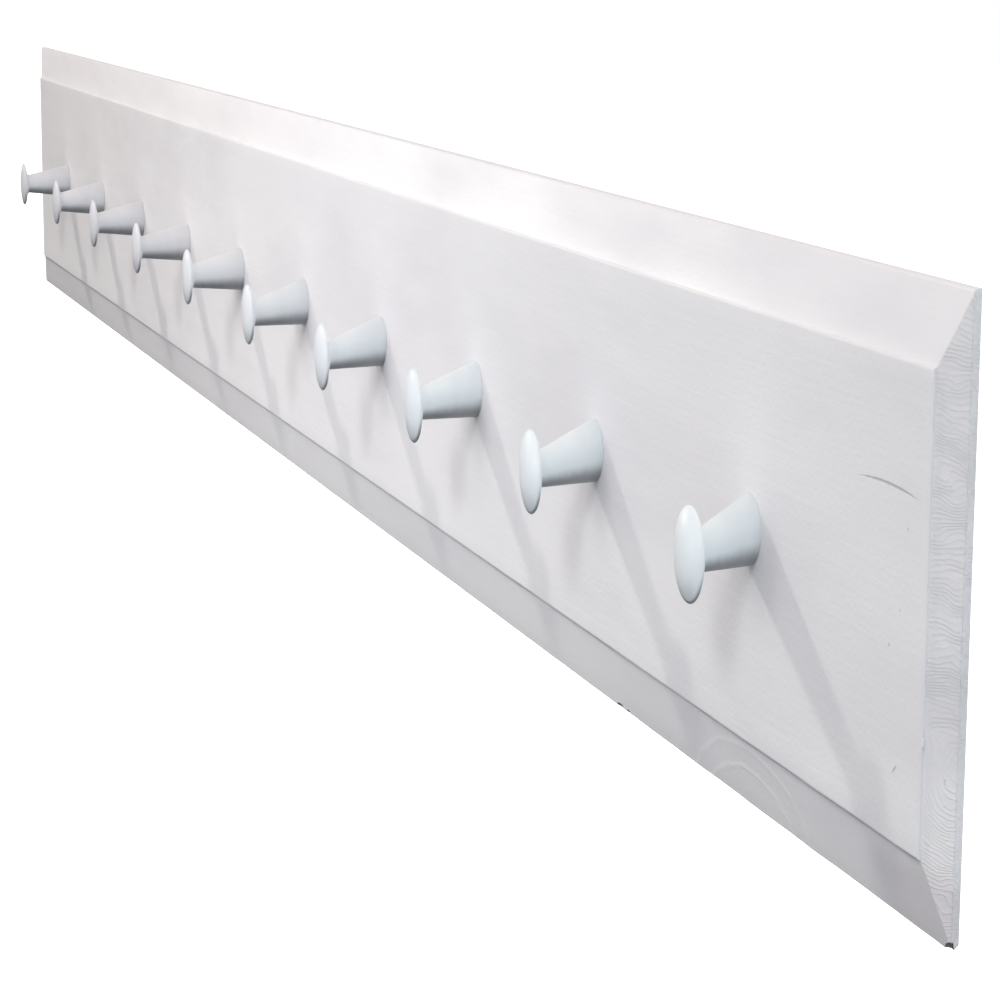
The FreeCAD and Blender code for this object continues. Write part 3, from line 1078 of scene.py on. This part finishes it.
@dataclass
class PlateScrew:
    """A countersunk screw with a cross recess."""

    head_inset: float = 0.1 * MM
    head_height: float = 1.6 * MM
    rim: float = 0.12 * MM
    flare: float = 0.2 * MM
    flare_rise: float = 0.1 * MM
    shank_radius: float = 1.5 * MM
    tip_length: float = 3 * MM
    tip_shoulder: float = 0.72
    tip_radius: float = 0.15 * MM
    recess_half_length: float = 1.7 * MM
    recess_half_width: float = 0.35 * MM
    recess_depth: float = 0.9 * MM
    recess_foot: float = 0.45
    sides: int = 40
    smooth_angle: float = 30.0

    def build(self) -> list[bpy.types.Object]:
        """Makes one screw and copies it to each place.

        Returns:
            The screws, in the order of their nodes.
        """
        nodes = numbered("plate_screw_")
        low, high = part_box(nodes[0])
        head_radius = (high.x - low.x) / 2
        top, tip = high.y, low.y
        neck = top - self.head_height
        screw = lathe_mesh("screw_blank", [
            (head_radius - self.rim, top),
            (head_radius, top - self.rim),
            (self.shank_radius + self.flare, neck + self.flare_rise),
            (self.shank_radius, neck - self.flare),
            (self.shank_radius, tip + self.tip_length),
            (self.shank_radius * self.tip_shoulder, tip + self.tip_length * 0.5),
            (self.tip_radius, tip),
        ], self.sides)
        longer, narrower = self.recess_half_length, self.recess_half_width
        for size in ((longer, narrower), (narrower, longer)):
            arm = box_mesh("arm", (-size[0], top - self.recess_depth, -size[1]), (size[0], top + PROUD, size[1]))
            pick_faces(arm, lambda centre, normal: normal.y < FRONT)
            bpy.ops.transform.resize(value=(self.recess_foot, 1, self.recess_foot),
                                     center_override=(0, top - self.recess_depth, 0))
            end_mesh()
            cut(screw, arm)
        smooth(screw, self.smooth_angle)
        screws = []
        for node in nodes:
            centre = middle(node)
            twin = copy_piece(screw, f"cross_screw_{node[-1]}", (centre.x, 0, centre.z))
            twin.data.materials.append(PASSIVATE.material())
            hand_over(twin, node)
            screws.append(twin)
        bpy.data.objects.remove(screw)
        return screws


@dataclass
class TurnedPeg:
    """A turned peg: tenon, straight cone, hollow neck and a domed head with a soft rim."""

    tenon_radius: float = 6.35 * MM
    tenon_chamfer: float = 0.8 * MM
    base_radius: float = 9.5 * MM
    foot_radius: float = 0.6 * MM
    neck_radius: float = 5.25 * MM
    cove_radius: float = 4 * MM
    rim_radius: float = 2 * MM
    head_front: float = 4.5 * MM
    back_slope: float = 30.0
    sides: int = 72
    foot_rings: int = 4
    cone_rings: int = 10
    cove_rings: int = 8
    rim_rings: int = 12
    dome_rings: int = 10
    smooth_angle: float = 40.0
    lean: tuple[tuple[str, float, float], ...] = (
        ("peg_06", 0.0, -1.0), ("peg_07", 0.0, -1.1), ("peg_10", 3.0, 1.5))
    lean_from: float = 4.5 * MM

    def lean_over(self, peg: bpy.types.Object, foot: Point, side: float, up: float) -> None:
        """Leans a peg over from just above its foot, as one set askew.

        Args:
            peg: The peg.
            foot: The middle of its foot.
            side: Degrees towards +X.
            up: Degrees upwards.
        """
        only(peg)
        bpy.ops.object.mode_set(mode="EDIT")
        pick_faces(peg, lambda centre, normal: centre.y < foot[1] - self.lean_from)
        for angle, axis in ((-side, "Z"), (up, "X")):
            bpy.ops.transform.rotate(value=math.radians(angle), orient_axis=axis, center_override=foot)
        bpy.ops.object.mode_set(mode="OBJECT")

    def outline(self, face: float, low: Vector, high: Vector) -> list[tuple[float, float]]:
        """The peg's rings from the end of its tenon to the tip of its head.

        Args:
            face: Y of the board's face.
            low: The lowest corner of a peg's box.
            high: The highest corner.

        Returns:
            Radius and Y of each ring. The last one is the pole.
        """
        head_radius = (high.x - low.x) / 2
        reach_out = face - low.y - self.head_front
        tenon_end = face - high.y
        slope = math.radians(self.back_slope)
        rim_centre = head_radius - self.rim_radius
        reach = rim_centre - self.neck_radius - self.cove_radius
        drop = (math.sin(slope) * reach + self.rim_radius + self.cove_radius) / math.cos(slope)
        cove = (self.neck_radius + self.cove_radius, reach_out - drop)
        cove_end = math.pi / 2 - slope
        rise = self.head_front - self.rim_radius
        dome_depth = (rim_centre**2 - rise**2) / (2 * rise)
        dome_radius = dome_depth + self.head_front
        dome_angle = math.atan2(dome_depth, rim_centre)

        rings = [
            (self.tenon_radius - self.tenon_chamfer, tenon_end),
            (self.tenon_radius, tenon_end + self.tenon_chamfer),
            (self.tenon_radius, 0.0),
            (self.base_radius - self.foot_radius, 0.0),
        ]
        rings += circle_arc((self.base_radius - self.foot_radius, self.foot_radius), self.foot_radius,
                            -math.pi / 2, 0, self.foot_rings)
        neck_start = cove[1]
        for step in range(1, self.cone_rings + 1):
            share = step / self.cone_rings
            rings.append((self.base_radius + share * (self.neck_radius - self.base_radius),
                          self.foot_radius + share * (neck_start - self.foot_radius)))
        rings += circle_arc(cove, self.cove_radius, math.pi, math.pi - cove_end, self.cove_rings)
        rings += circle_arc((rim_centre, reach_out), self.rim_radius, -cove_end, dome_angle, self.rim_rings)
        rings += circle_arc((0.0, reach_out - dome_depth), dome_radius, dome_angle, math.pi / 2, self.dome_rings)[:-1]
        rings.append((0.0, reach_out + self.head_front))
        return [(radius, face - distance) for radius, distance in rings]

    def build(self, face: float) -> list[bpy.types.Object]:
        """Makes one peg and copies it along the rail.

        Args:
            face: Y of the board's face.

        Returns:
            The pegs, in the order of their nodes.
        """
        nodes = numbered("peg_")
        low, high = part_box(nodes[0])
        peg = lathe_mesh("peg_blank", self.outline(face, low, high), self.sides)
        smooth(peg, self.smooth_angle)
        pegs = []
        for node in nodes:
            centre = middle(node)
            twin = copy_piece(peg, f"turned_{node}", (centre.x, 0, centre.z))
            for _, side, up in (one for one in self.lean if one[0] == node):
                self.lean_over(twin, (centre.x, face, centre.z), side, up)
            twin.data.materials.append(PegPaint().material())
            hand_over(twin, node)
            pegs.append(twin)
        bpy.data.objects.remove(peg)
        return pegs


@dataclass
class RailBoard:
    """The moulded board: raised field, step and bevel on all four sides, square edge, and its knocks."""

    plates: HangerPlate
    pegs: TurnedPeg
    screws: PlateScrew
    node: str = "rail_board"
    edge_thickness: float = 9 * MM
    bevel_width: float = 18.5 * MM
    bevel_steps: int = 3
    field_step: float = 2.2 * MM
    arris_radius: float = 0.8 * MM
    arris_segments: int = 5
    rim_radius: float = 0.6 * MM
    rim_segments: int = 4
    back_radius: float = 0.5 * MM
    back_segments: int = 2
    grid: float = 6.5 * MM
    most_cuts: int = 99
    long_share: float = 1.6
    hole_sides: int = 64
    pilot_sides: int = 32
    hole_back_web: float = 3 * MM
    fit_clearance: float = 0.05 * MM
    screw_length: float = 12 * MM
    pilot_end_gap: float = 1 * MM
    pebble_unevenness: float = 0.16
    waviness: float = 0.5 * MM
    wave_length: float = 26 * MM
    least_wander: float = 0.25
    wander_from: float = 0.35
    wander_run: float = 0.35
    wander_margin: float = 3 * MM
    wander_from_back: float = 1.5 * MM
    smooth_angle: float = 22.0
    hurts: tuple[Hurt, ...] = (
        Hurt((0.8042, -0.0168, 0.0065), (0.7 * MM, 1.2 * MM, 1.3 * MM), 7),
        Hurt((0.8042, -0.0168, -0.0290), (0.7 * MM, 1.1 * MM, 1.6 * MM), 8),
        Hurt((0.8159, -0.0114, -0.0364), (0.8 * MM, 0.8 * MM, 0.7 * MM), 9),
        Hurt((0.8217, -0.0090, -0.0752), (3.4 * MM, 2.8 * MM, 2.6 * MM), 10, True),
        Hurt((0.5480, -0.0096, -0.0750), (4.0 * MM, 1.6 * MM, 1.25 * MM), 11, True),
        Hurt((0.5570, -0.0096, -0.0750), (2.4 * MM, 1.5 * MM, 1.1 * MM), 12, True),
    )

    def sizes(self) -> tuple[float, float, float]:
        """Length, thickness and height of the board."""
        low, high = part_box(self.node)
        return tuple(high - low)

    def face(self) -> float:
        """Y of the board's face."""
        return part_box(self.node)[0].y

    def paint(self) -> BoardPaint:
        """The board's paint, told where the board's edges are."""
        length, _, height = self.sizes()
        return BoardPaint(length / 2, height / 2, length / 2 - self.bevel_width, height / 2 - self.bevel_width)

    def pine(self) -> BarePine:
        """The board's bare wood, told where the board's edges are."""
        length, _, height = self.sizes()
        return BarePine(length / 2, height / 2)

    def blank(self) -> bpy.types.Object:
        """The moulded board before any hole is cut."""
        length, _, height = self.sizes()
        half_x, half_z = length / 2, height / 2
        board = box_mesh("moulded_board", (-half_x, -self.edge_thickness, -half_z), (half_x, 0, half_z))
        for axis, extent in ((0, length), (2, height)):
            pick_edges(board, lambda a, b: abs(a[axis] - b[axis]) > self.grid)
            self.divide(board, axis, extent)
        pick_faces(board, lambda centre, normal: normal.y < FRONT)
        slope_end = self.face() + self.field_step
        field_x, field_z = half_x - self.bevel_width, half_z - self.bevel_width
        steps = self.bevel_steps
        run = (slope_end + self.edge_thickness) / steps
        inset = self.bevel_width / steps
        for step in range(steps):
            now_x, now_z = half_x - step * inset, half_z - step * inset
            y = -self.edge_thickness + (step + 1) * run
            bpy.ops.mesh.extrude_region_move(TRANSFORM_OT_translate={"value": (0, run, 0)})
            bpy.ops.transform.resize(value=((now_x - inset) / now_x, 1, (now_z - inset) / now_z),
                                     center_override=(0, y, 0))
        bpy.ops.mesh.extrude_region_move(TRANSFORM_OT_translate={"value": (0, -self.field_step, 0)})
        self.round_rectangle(board, self.face(), field_x, field_z, self.arris_radius, self.arris_segments)
        self.round_rectangle(board, -self.edge_thickness, half_x, half_z, self.rim_radius, self.rim_segments)
        self.round_rectangle(board, 0.0, half_x, half_z, self.back_radius, self.back_segments)
        end_mesh()
        return board

    def divide(self, board: bpy.types.Object, axis: int, extent: float) -> None:
        """Divides the selected edges evenly along one axis into lengths near the grid's."""
        bpy.ops.mesh.subdivide(number_cuts=min(self.most_cuts, round(extent / self.grid) - 1))
        if pick_edges(board, lambda a, b: abs(a[axis] - b[axis]) > self.long_share * self.grid):
            bpy.ops.mesh.subdivide(number_cuts=2)

    def round_rectangle(self, board: bpy.types.Object, y: float, half_x: float, half_z: float, radius: float,
                        segments: int) -> None:
        """Rounds the edges of one rectangle of the board's section, in edit mode."""
        def on_outline(place: Vector) -> bool:
            """True for a place on the rectangle."""
            level = abs(place.y - y) < LEVEL
            return level and (abs(abs(place.x) - half_x) < LEVEL or abs(abs(place.z) - half_z) < LEVEL)

        def along(a: Vector, b: Vector) -> bool:
            """True for an edge that runs along the rectangle."""
            return on_outline(a) and on_outline(b)

        pick_edges(board, along)
        bpy.ops.mesh.bevel(offset=radius, segments=segments, affect="EDGES")

    def soften(self, board: bpy.types.Object) -> None:
        """Lets the arrises and the outer rim wander a little, most at the right end, as sanded edges do."""
        length, _, height = self.sizes()
        field_x, field_z = length / 2 - self.bevel_width, height / 2 - self.bevel_width
        group = board.vertex_groups.new(name="edges")
        for vertex in board.data.vertices:
            place = vertex.co
            past_field = abs(place.x) > field_x - self.wander_margin or abs(place.z) > field_z - self.wander_margin
            on_back = place.y > -self.wander_from_back
            if past_field and not on_back:
                share = min(1.0, max(self.least_wander, (place.x - self.wander_from) / self.wander_run))
                group.add([vertex.index], share, "REPLACE")
        cloud = bpy.data.textures.new("edge_wander", "CLOUDS")
        cloud.noise_scale = self.wave_length
        cloud.noise_depth = 2
        apply_modifier(board, "DISPLACE", texture=cloud, texture_coords="LOCAL", direction="NORMAL",
                       strength=self.waviness, mid_level=0.5, vertex_group="edges")

    def cutters(self) -> list[bpy.types.Object]:
        """The solids of the peg holes, plate recesses, screw-head pockets and pilot holes."""
        face = self.face()
        holes = []
        radius = self.pegs.tenon_radius + self.fit_clearance
        for node in numbered("peg_"):
            hole = lathe_mesh("hole", [(radius, face - PROUD), (radius, -self.hole_back_web)], self.hole_sides)
            move_mesh(hole, (middle(node).x, 0, 0))
            holes.append(hole)
        recesses, pockets, pilots = [], [], []
        thickness = self.plates.size()[1]
        for node in self.plates.nodes():
            centre = middle(node)
            recess = self.plates.rounded_slab("recess", self.plates.recess_clearance, -thickness, PROUD)
            pocket = self.plates.stadium("pocket", self.plates.entry_radius + self.plates.pocket_clearance,
                                         -thickness - self.plates.pocket_depth, -thickness + OVERLAP)
            for solid, group in ((recess, recesses), (pocket, pockets)):
                move_mesh(solid, (centre.x, 0, centre.z))
                group.append(solid)
        for node in numbered("plate_screw_"):
            centre = middle(node)
            end = -self.screws.head_inset - self.screw_length - self.pilot_end_gap
            pilot_radius = self.screws.shank_radius + self.fit_clearance
            pilot = lathe_mesh("pilot", [(pilot_radius, end), (pilot_radius, -thickness + OVERLAP)], self.pilot_sides)
            move_mesh(pilot, (centre.x, 0, centre.z))
            pilots.append(pilot)
        return [join_all(group, name) for group, name in
                ((holes, "holes"), (recesses, "recesses"), (pockets, "pockets"), (pilots, "pilots"))]

    def knock(self, hurt: Hurt) -> bpy.types.Object:
        """An irregular pebble that takes a chip out of the board."""
        pebble = begin_mesh("pebble", lambda: bpy.ops.mesh.primitive_ico_sphere_add(
            subdivisions=2, radius=1, enter_editmode=True))
        bpy.ops.transform.vertex_random(offset=self.pebble_unevenness, seed=hurt.seed)
        bpy.ops.transform.resize(value=hurt.size, center_override=(0, 0, 0))
        end_mesh()
        move_mesh(pebble, hurt.place)
        return pebble

    def build(self) -> bpy.types.Object:
        """Makes the whole board.

        Returns:
            The board.
        """
        board = self.blank()
        self.soften(board)
        finishes = (self.paint().material(), self.pine().material())
        for finish in finishes:
            board.data.materials.append(finish)
        dents = join_all([self.knock(hurt) for hurt in self.hurts if not hurt.bare], "dents")
        chips = join_all([self.knock(hurt) for hurt in self.hurts if hurt.bare], "chips")
        for cutter in self.cutters() + [dents, chips]:
            for finish in finishes:
                cutter.data.materials.append(finish)
            for face in cutter.data.polygons:
                face.material_index = 0 if cutter == dents else 1
            cut(board, cutter)
        for face in board.data.polygons:
            if face.normal.y > BACK and face.center.y > -LEVEL:
                face.material_index = 1
        board.vertex_groups.clear()
        smooth(board, self.smooth_angle)
        hand_over(board, self.node)
        return board


# The studio


@dataclass
class Lamp:
    """A soft lamp that looks at the rail."""

    name: str
    place: Point
    target: Point
    size: float
    power: float
    colour: Colour
    cone: float = 0.0

    def build(self) -> bpy.types.Object:
        """Makes the lamp: a disc, or a spot where it has a cone."""
        if self.cone:
            data = bpy.data.lights.new(self.name, "SPOT")
            data.spot_size = math.radians(self.cone)
            data.spot_blend = 1.0
            data.shadow_soft_size = self.size / 2
        else:
            data = bpy.data.lights.new(self.name, "AREA")
            data.shape = "DISK"
            data.size = self.size
        data.energy = self.power
        data.color = self.colour
        lamp = bpy.data.objects.new(self.name, data)
        bpy.context.scene.collection.objects.link(lamp)
        lamp.visible_camera = False
        lamp.location = self.place
        lamp.rotation_mode = "QUATERNION"
        lamp.rotation_quaternion = (Vector(self.target) - Vector(self.place)).to_track_quat("-Z", "Y")
        return lamp


@dataclass
class Studio:
    """Camera, lens plate, lamps, pale floor and surroundings."""

    camera_place: Point = (1.12615, -0.62396, 0.13929)
    yaw: float = 0.8689
    pitch: float = 0.18122
    roll: float = 0.01739
    sensor: float = 36.0
    focal_share: float = 1.09225
    tall_stretch: float = 8 / 3
    plate_distance: float = 0.02
    plate_margin: float = 1.2
    exit_share: float = 1.05
    close_share: float = 2.5
    floor_drop: float = 0.9
    floor_half: float = 40.0
    floor_grey: float = 0.9
    lamps: tuple[Lamp, ...] = field(default_factory=lambda: (
        Lamp("lamp_far_left", (-3.88, -3.42, 2.63), (0, 0, 0), 0.30, 76.0, (1.0, 0.955, 0.90)),
        Lamp("lamp_front", (2.8, -6.4, 3.0), (0, 0, 0), 1.3, 92.0, (0.90, 0.94, 1.0)),
        Lamp("spot_middle", (0.12, -2.7, 0.35), (0.13, 0, 0), 0.9, 88.0, (1.0, 0.985, 1.0), 30.0),
        Lamp("softbox_front", (0.1, -3.0, 0.15), (0.2, 0, 0), 2.4, 13.0, (0.98, 0.98, 1.0)),
        Lamp("softbox_above", (0.5, 0.5, 1.8), (0.3, 0, 0), 2.2, 6.0, (1.0, 0.94, 0.88)),
    ))
    ambient: float = 0.20

    def build_camera(self) -> bpy.types.Object:
        """The camera, turned by its yaw, pitch and roll."""
        forward = Vector((-math.sin(self.yaw) * math.cos(self.pitch), math.cos(self.yaw) * math.cos(self.pitch),
                          -math.sin(self.pitch)))
        level = Vector((math.cos(self.yaw), math.sin(self.yaw), 0))
        upward = level.cross(forward)
        right = math.cos(self.roll) * level + math.sin(self.roll) * upward
        up = math.cos(self.roll) * upward - math.sin(self.roll) * level
        data = bpy.data.cameras.new("camera")
        data.sensor_width = self.sensor
        data.lens = self.sensor * self.focal_share
        data.clip_start = MM
        data.clip_end = 100
        camera = bpy.data.objects.new("camera", data)
        bpy.context.scene.collection.objects.link(camera)
        turned = Matrix((right, up, -forward)).transposed().to_4x4()
        camera.matrix_world = Matrix.Translation(self.camera_place) @ turned
        bpy.context.scene.camera = camera
        return camera

    def build_lens_plate(self, camera: bpy.types.Object) -> bpy.types.Object:
        """A small plate just before the camera that draws the picture taller, as an anamorphic lens does.

        It sends each ray that meets it close to its start on in a flatter direction. From any other place it
        is clear glass, so the rail is seen there in its true proportions.

        Args:
            camera: The camera that it stands before.

        Returns:
            The plate.
        """
        half = self.plate_distance / (2 * self.focal_share) * self.plate_margin
        plate = begin_mesh("lens_plate", lambda: bpy.ops.mesh.primitive_plane_add(size=2 * half, enter_editmode=True))
        bpy.ops.transform.translate(value=(0, 0, -self.plate_distance))
        bpy.ops.object.mode_set(mode="OBJECT")
        plate.matrix_world = camera.matrix_world.copy()
        material = bpy.data.materials.new("lens_plate")
        material.use_nodes = True
        material.node_tree.nodes.clear()
        sheet = NodeSheet(material.node_tree)
        place = sheet.node("ShaderNodeTexCoord").outputs["Object"]
        flatter = sheet.vector("MULTIPLY", place, (1.0, 1 / self.tall_stretch, 1.0))
        beyond = sheet.vector("MULTIPLY", flatter, (self.exit_share,) * 3)
        start = sheet.node("ShaderNodeVectorTransform", vector_type="POINT", convert_from="OBJECT",
                           convert_to="WORLD")
        turn = sheet.node("ShaderNodeVectorTransform", vector_type="VECTOR", convert_from="OBJECT",
                          convert_to="WORLD")
        sheet.feed(start.inputs[0], beyond)
        sheet.feed(turn.inputs[0], flatter)
        bent = sheet.node("ShaderNodeBsdfRayPortal")
        sheet.feed(bent.inputs["Position"], start.outputs[0])
        sheet.feed(bent.inputs["Direction"], sheet.vector("NORMALIZE", turn.outputs[0]))
        clear = sheet.node("ShaderNodeBsdfTransparent")
        travelled = sheet.node("ShaderNodeLightPath").outputs["Ray Length"]
        close = sheet.maths("LESS_THAN", travelled, self.close_share * self.plate_distance)
        either = sheet.node("ShaderNodeMixShader")
        for socket, value in zip(either.inputs, (close, clear.outputs[0], bent.outputs[0])):
            sheet.feed(socket, value)
        sheet.feed(sheet.node("ShaderNodeOutputMaterial").inputs["Surface"], either.outputs[0])
        plate.data.materials.append(material)
        for kind in ("diffuse", "glossy", "transmission", "volume_scatter", "shadow"):
            setattr(plate, f"visible_{kind}", False)
        return plate

    def build_floor(self) -> bpy.types.Object:
        """A plain pale floor, well below the rail."""
        floor = begin_mesh("floor", lambda: bpy.ops.mesh.primitive_plane_add(
            size=2 * self.floor_half, enter_editmode=True))
        bpy.ops.transform.translate(value=(0, 0, -self.floor_drop))
        bpy.ops.object.mode_set(mode="OBJECT")
        material = bpy.data.materials.new("studio_floor")
        material.use_nodes = True
        shader = material.node_tree.nodes["Principled BSDF"]
        shader.inputs["Base Color"].default_value = as_rgba((self.floor_grey,) * 3)
        shader.inputs["Roughness"].default_value = 0.9
        shader.inputs["Emission Color"].default_value = (1.0, 1.0, 1.0, 1.0)
        shader.inputs["Emission Strength"].default_value = 1.0
        floor.data.materials.append(material)
        for kind in ("diffuse", "glossy"):
            setattr(floor, f"visible_{kind}", False)
        return floor

    def build_surroundings(self) -> None:
        """Soft light from all round: stronger from above, the right and behind, weak from straight below."""
        world = bpy.data.worlds.new("studio")
        world.use_nodes = True
        bpy.context.scene.world = world
        sheet = NodeSheet(world.node_tree)
        ground = world.node_tree.nodes["Background"]
        way = sheet.node("ShaderNodeTexCoord").outputs["Generated"]
        x, y, z = sheet.parts(way)
        above = sheet.ramp(z, 0.0, 1.0, 0.0, 2.6)
        below = sheet.ramp(z, -0.60, -0.10, -0.4, 0.0)
        right = sheet.ramp(x, 0.15, 1.0, 0.0, 3.2)
        behind = sheet.ramp(y, 0.05, 0.7, 1.0, 2.6)
        level = sheet.plus(sheet.plus(above, below), sheet.plus(right, behind))
        level = sheet.times(level, self.ambient)
        seen = sheet.node("ShaderNodeLightPath").outputs["Is Camera Ray"]
        mixed = sheet.node("ShaderNodeMix", data_type="FLOAT")
        sheet.feed(mixed.inputs["Factor"], seen)
        sheet.feed(mixed.inputs["A"], level)
        sheet.feed(mixed.inputs["B"], 1.0)
        tint = sheet.mix(sheet.ramp(z, 0.1, 0.9), (0.98, 0.98, 1.0), (1.0, 0.925, 0.87))
        tint = sheet.mix(sheet.ramp(x, 0.3, 1.0), tint, (0.84, 0.94, 1.0))
        sheet.feed(ground.inputs["Color"], sheet.mix(seen, tint, (1.0, 1.0, 1.0)))
        sheet.feed(ground.inputs["Strength"], mixed.outputs["Result"])

    def build(self) -> None:
        """Makes everything round the rail."""
        camera = self.build_camera()
        self.build_lens_plate(camera)
        self.build_floor()
        self.build_surroundings()
        for lamp in self.lamps:
            lamp.build()
        bpy.context.scene.view_settings.view_transform = "Standard"
        log.info("studio is set with %d lamps", len(self.lamps))


def main() -> None:
    """Builds the studio and the rail."""
    logging.basicConfig(level=logging.INFO, format="%(message)s")
    Studio().build()
    plates, pegs, screws = HangerPlate(), TurnedPeg(), PlateScrew()
    board = RailBoard(plates, pegs, screws)
    board.build()
    pegs.build(board.face())
    plates.build()
    screws.build()


if __name__ == "__main__":
    main()
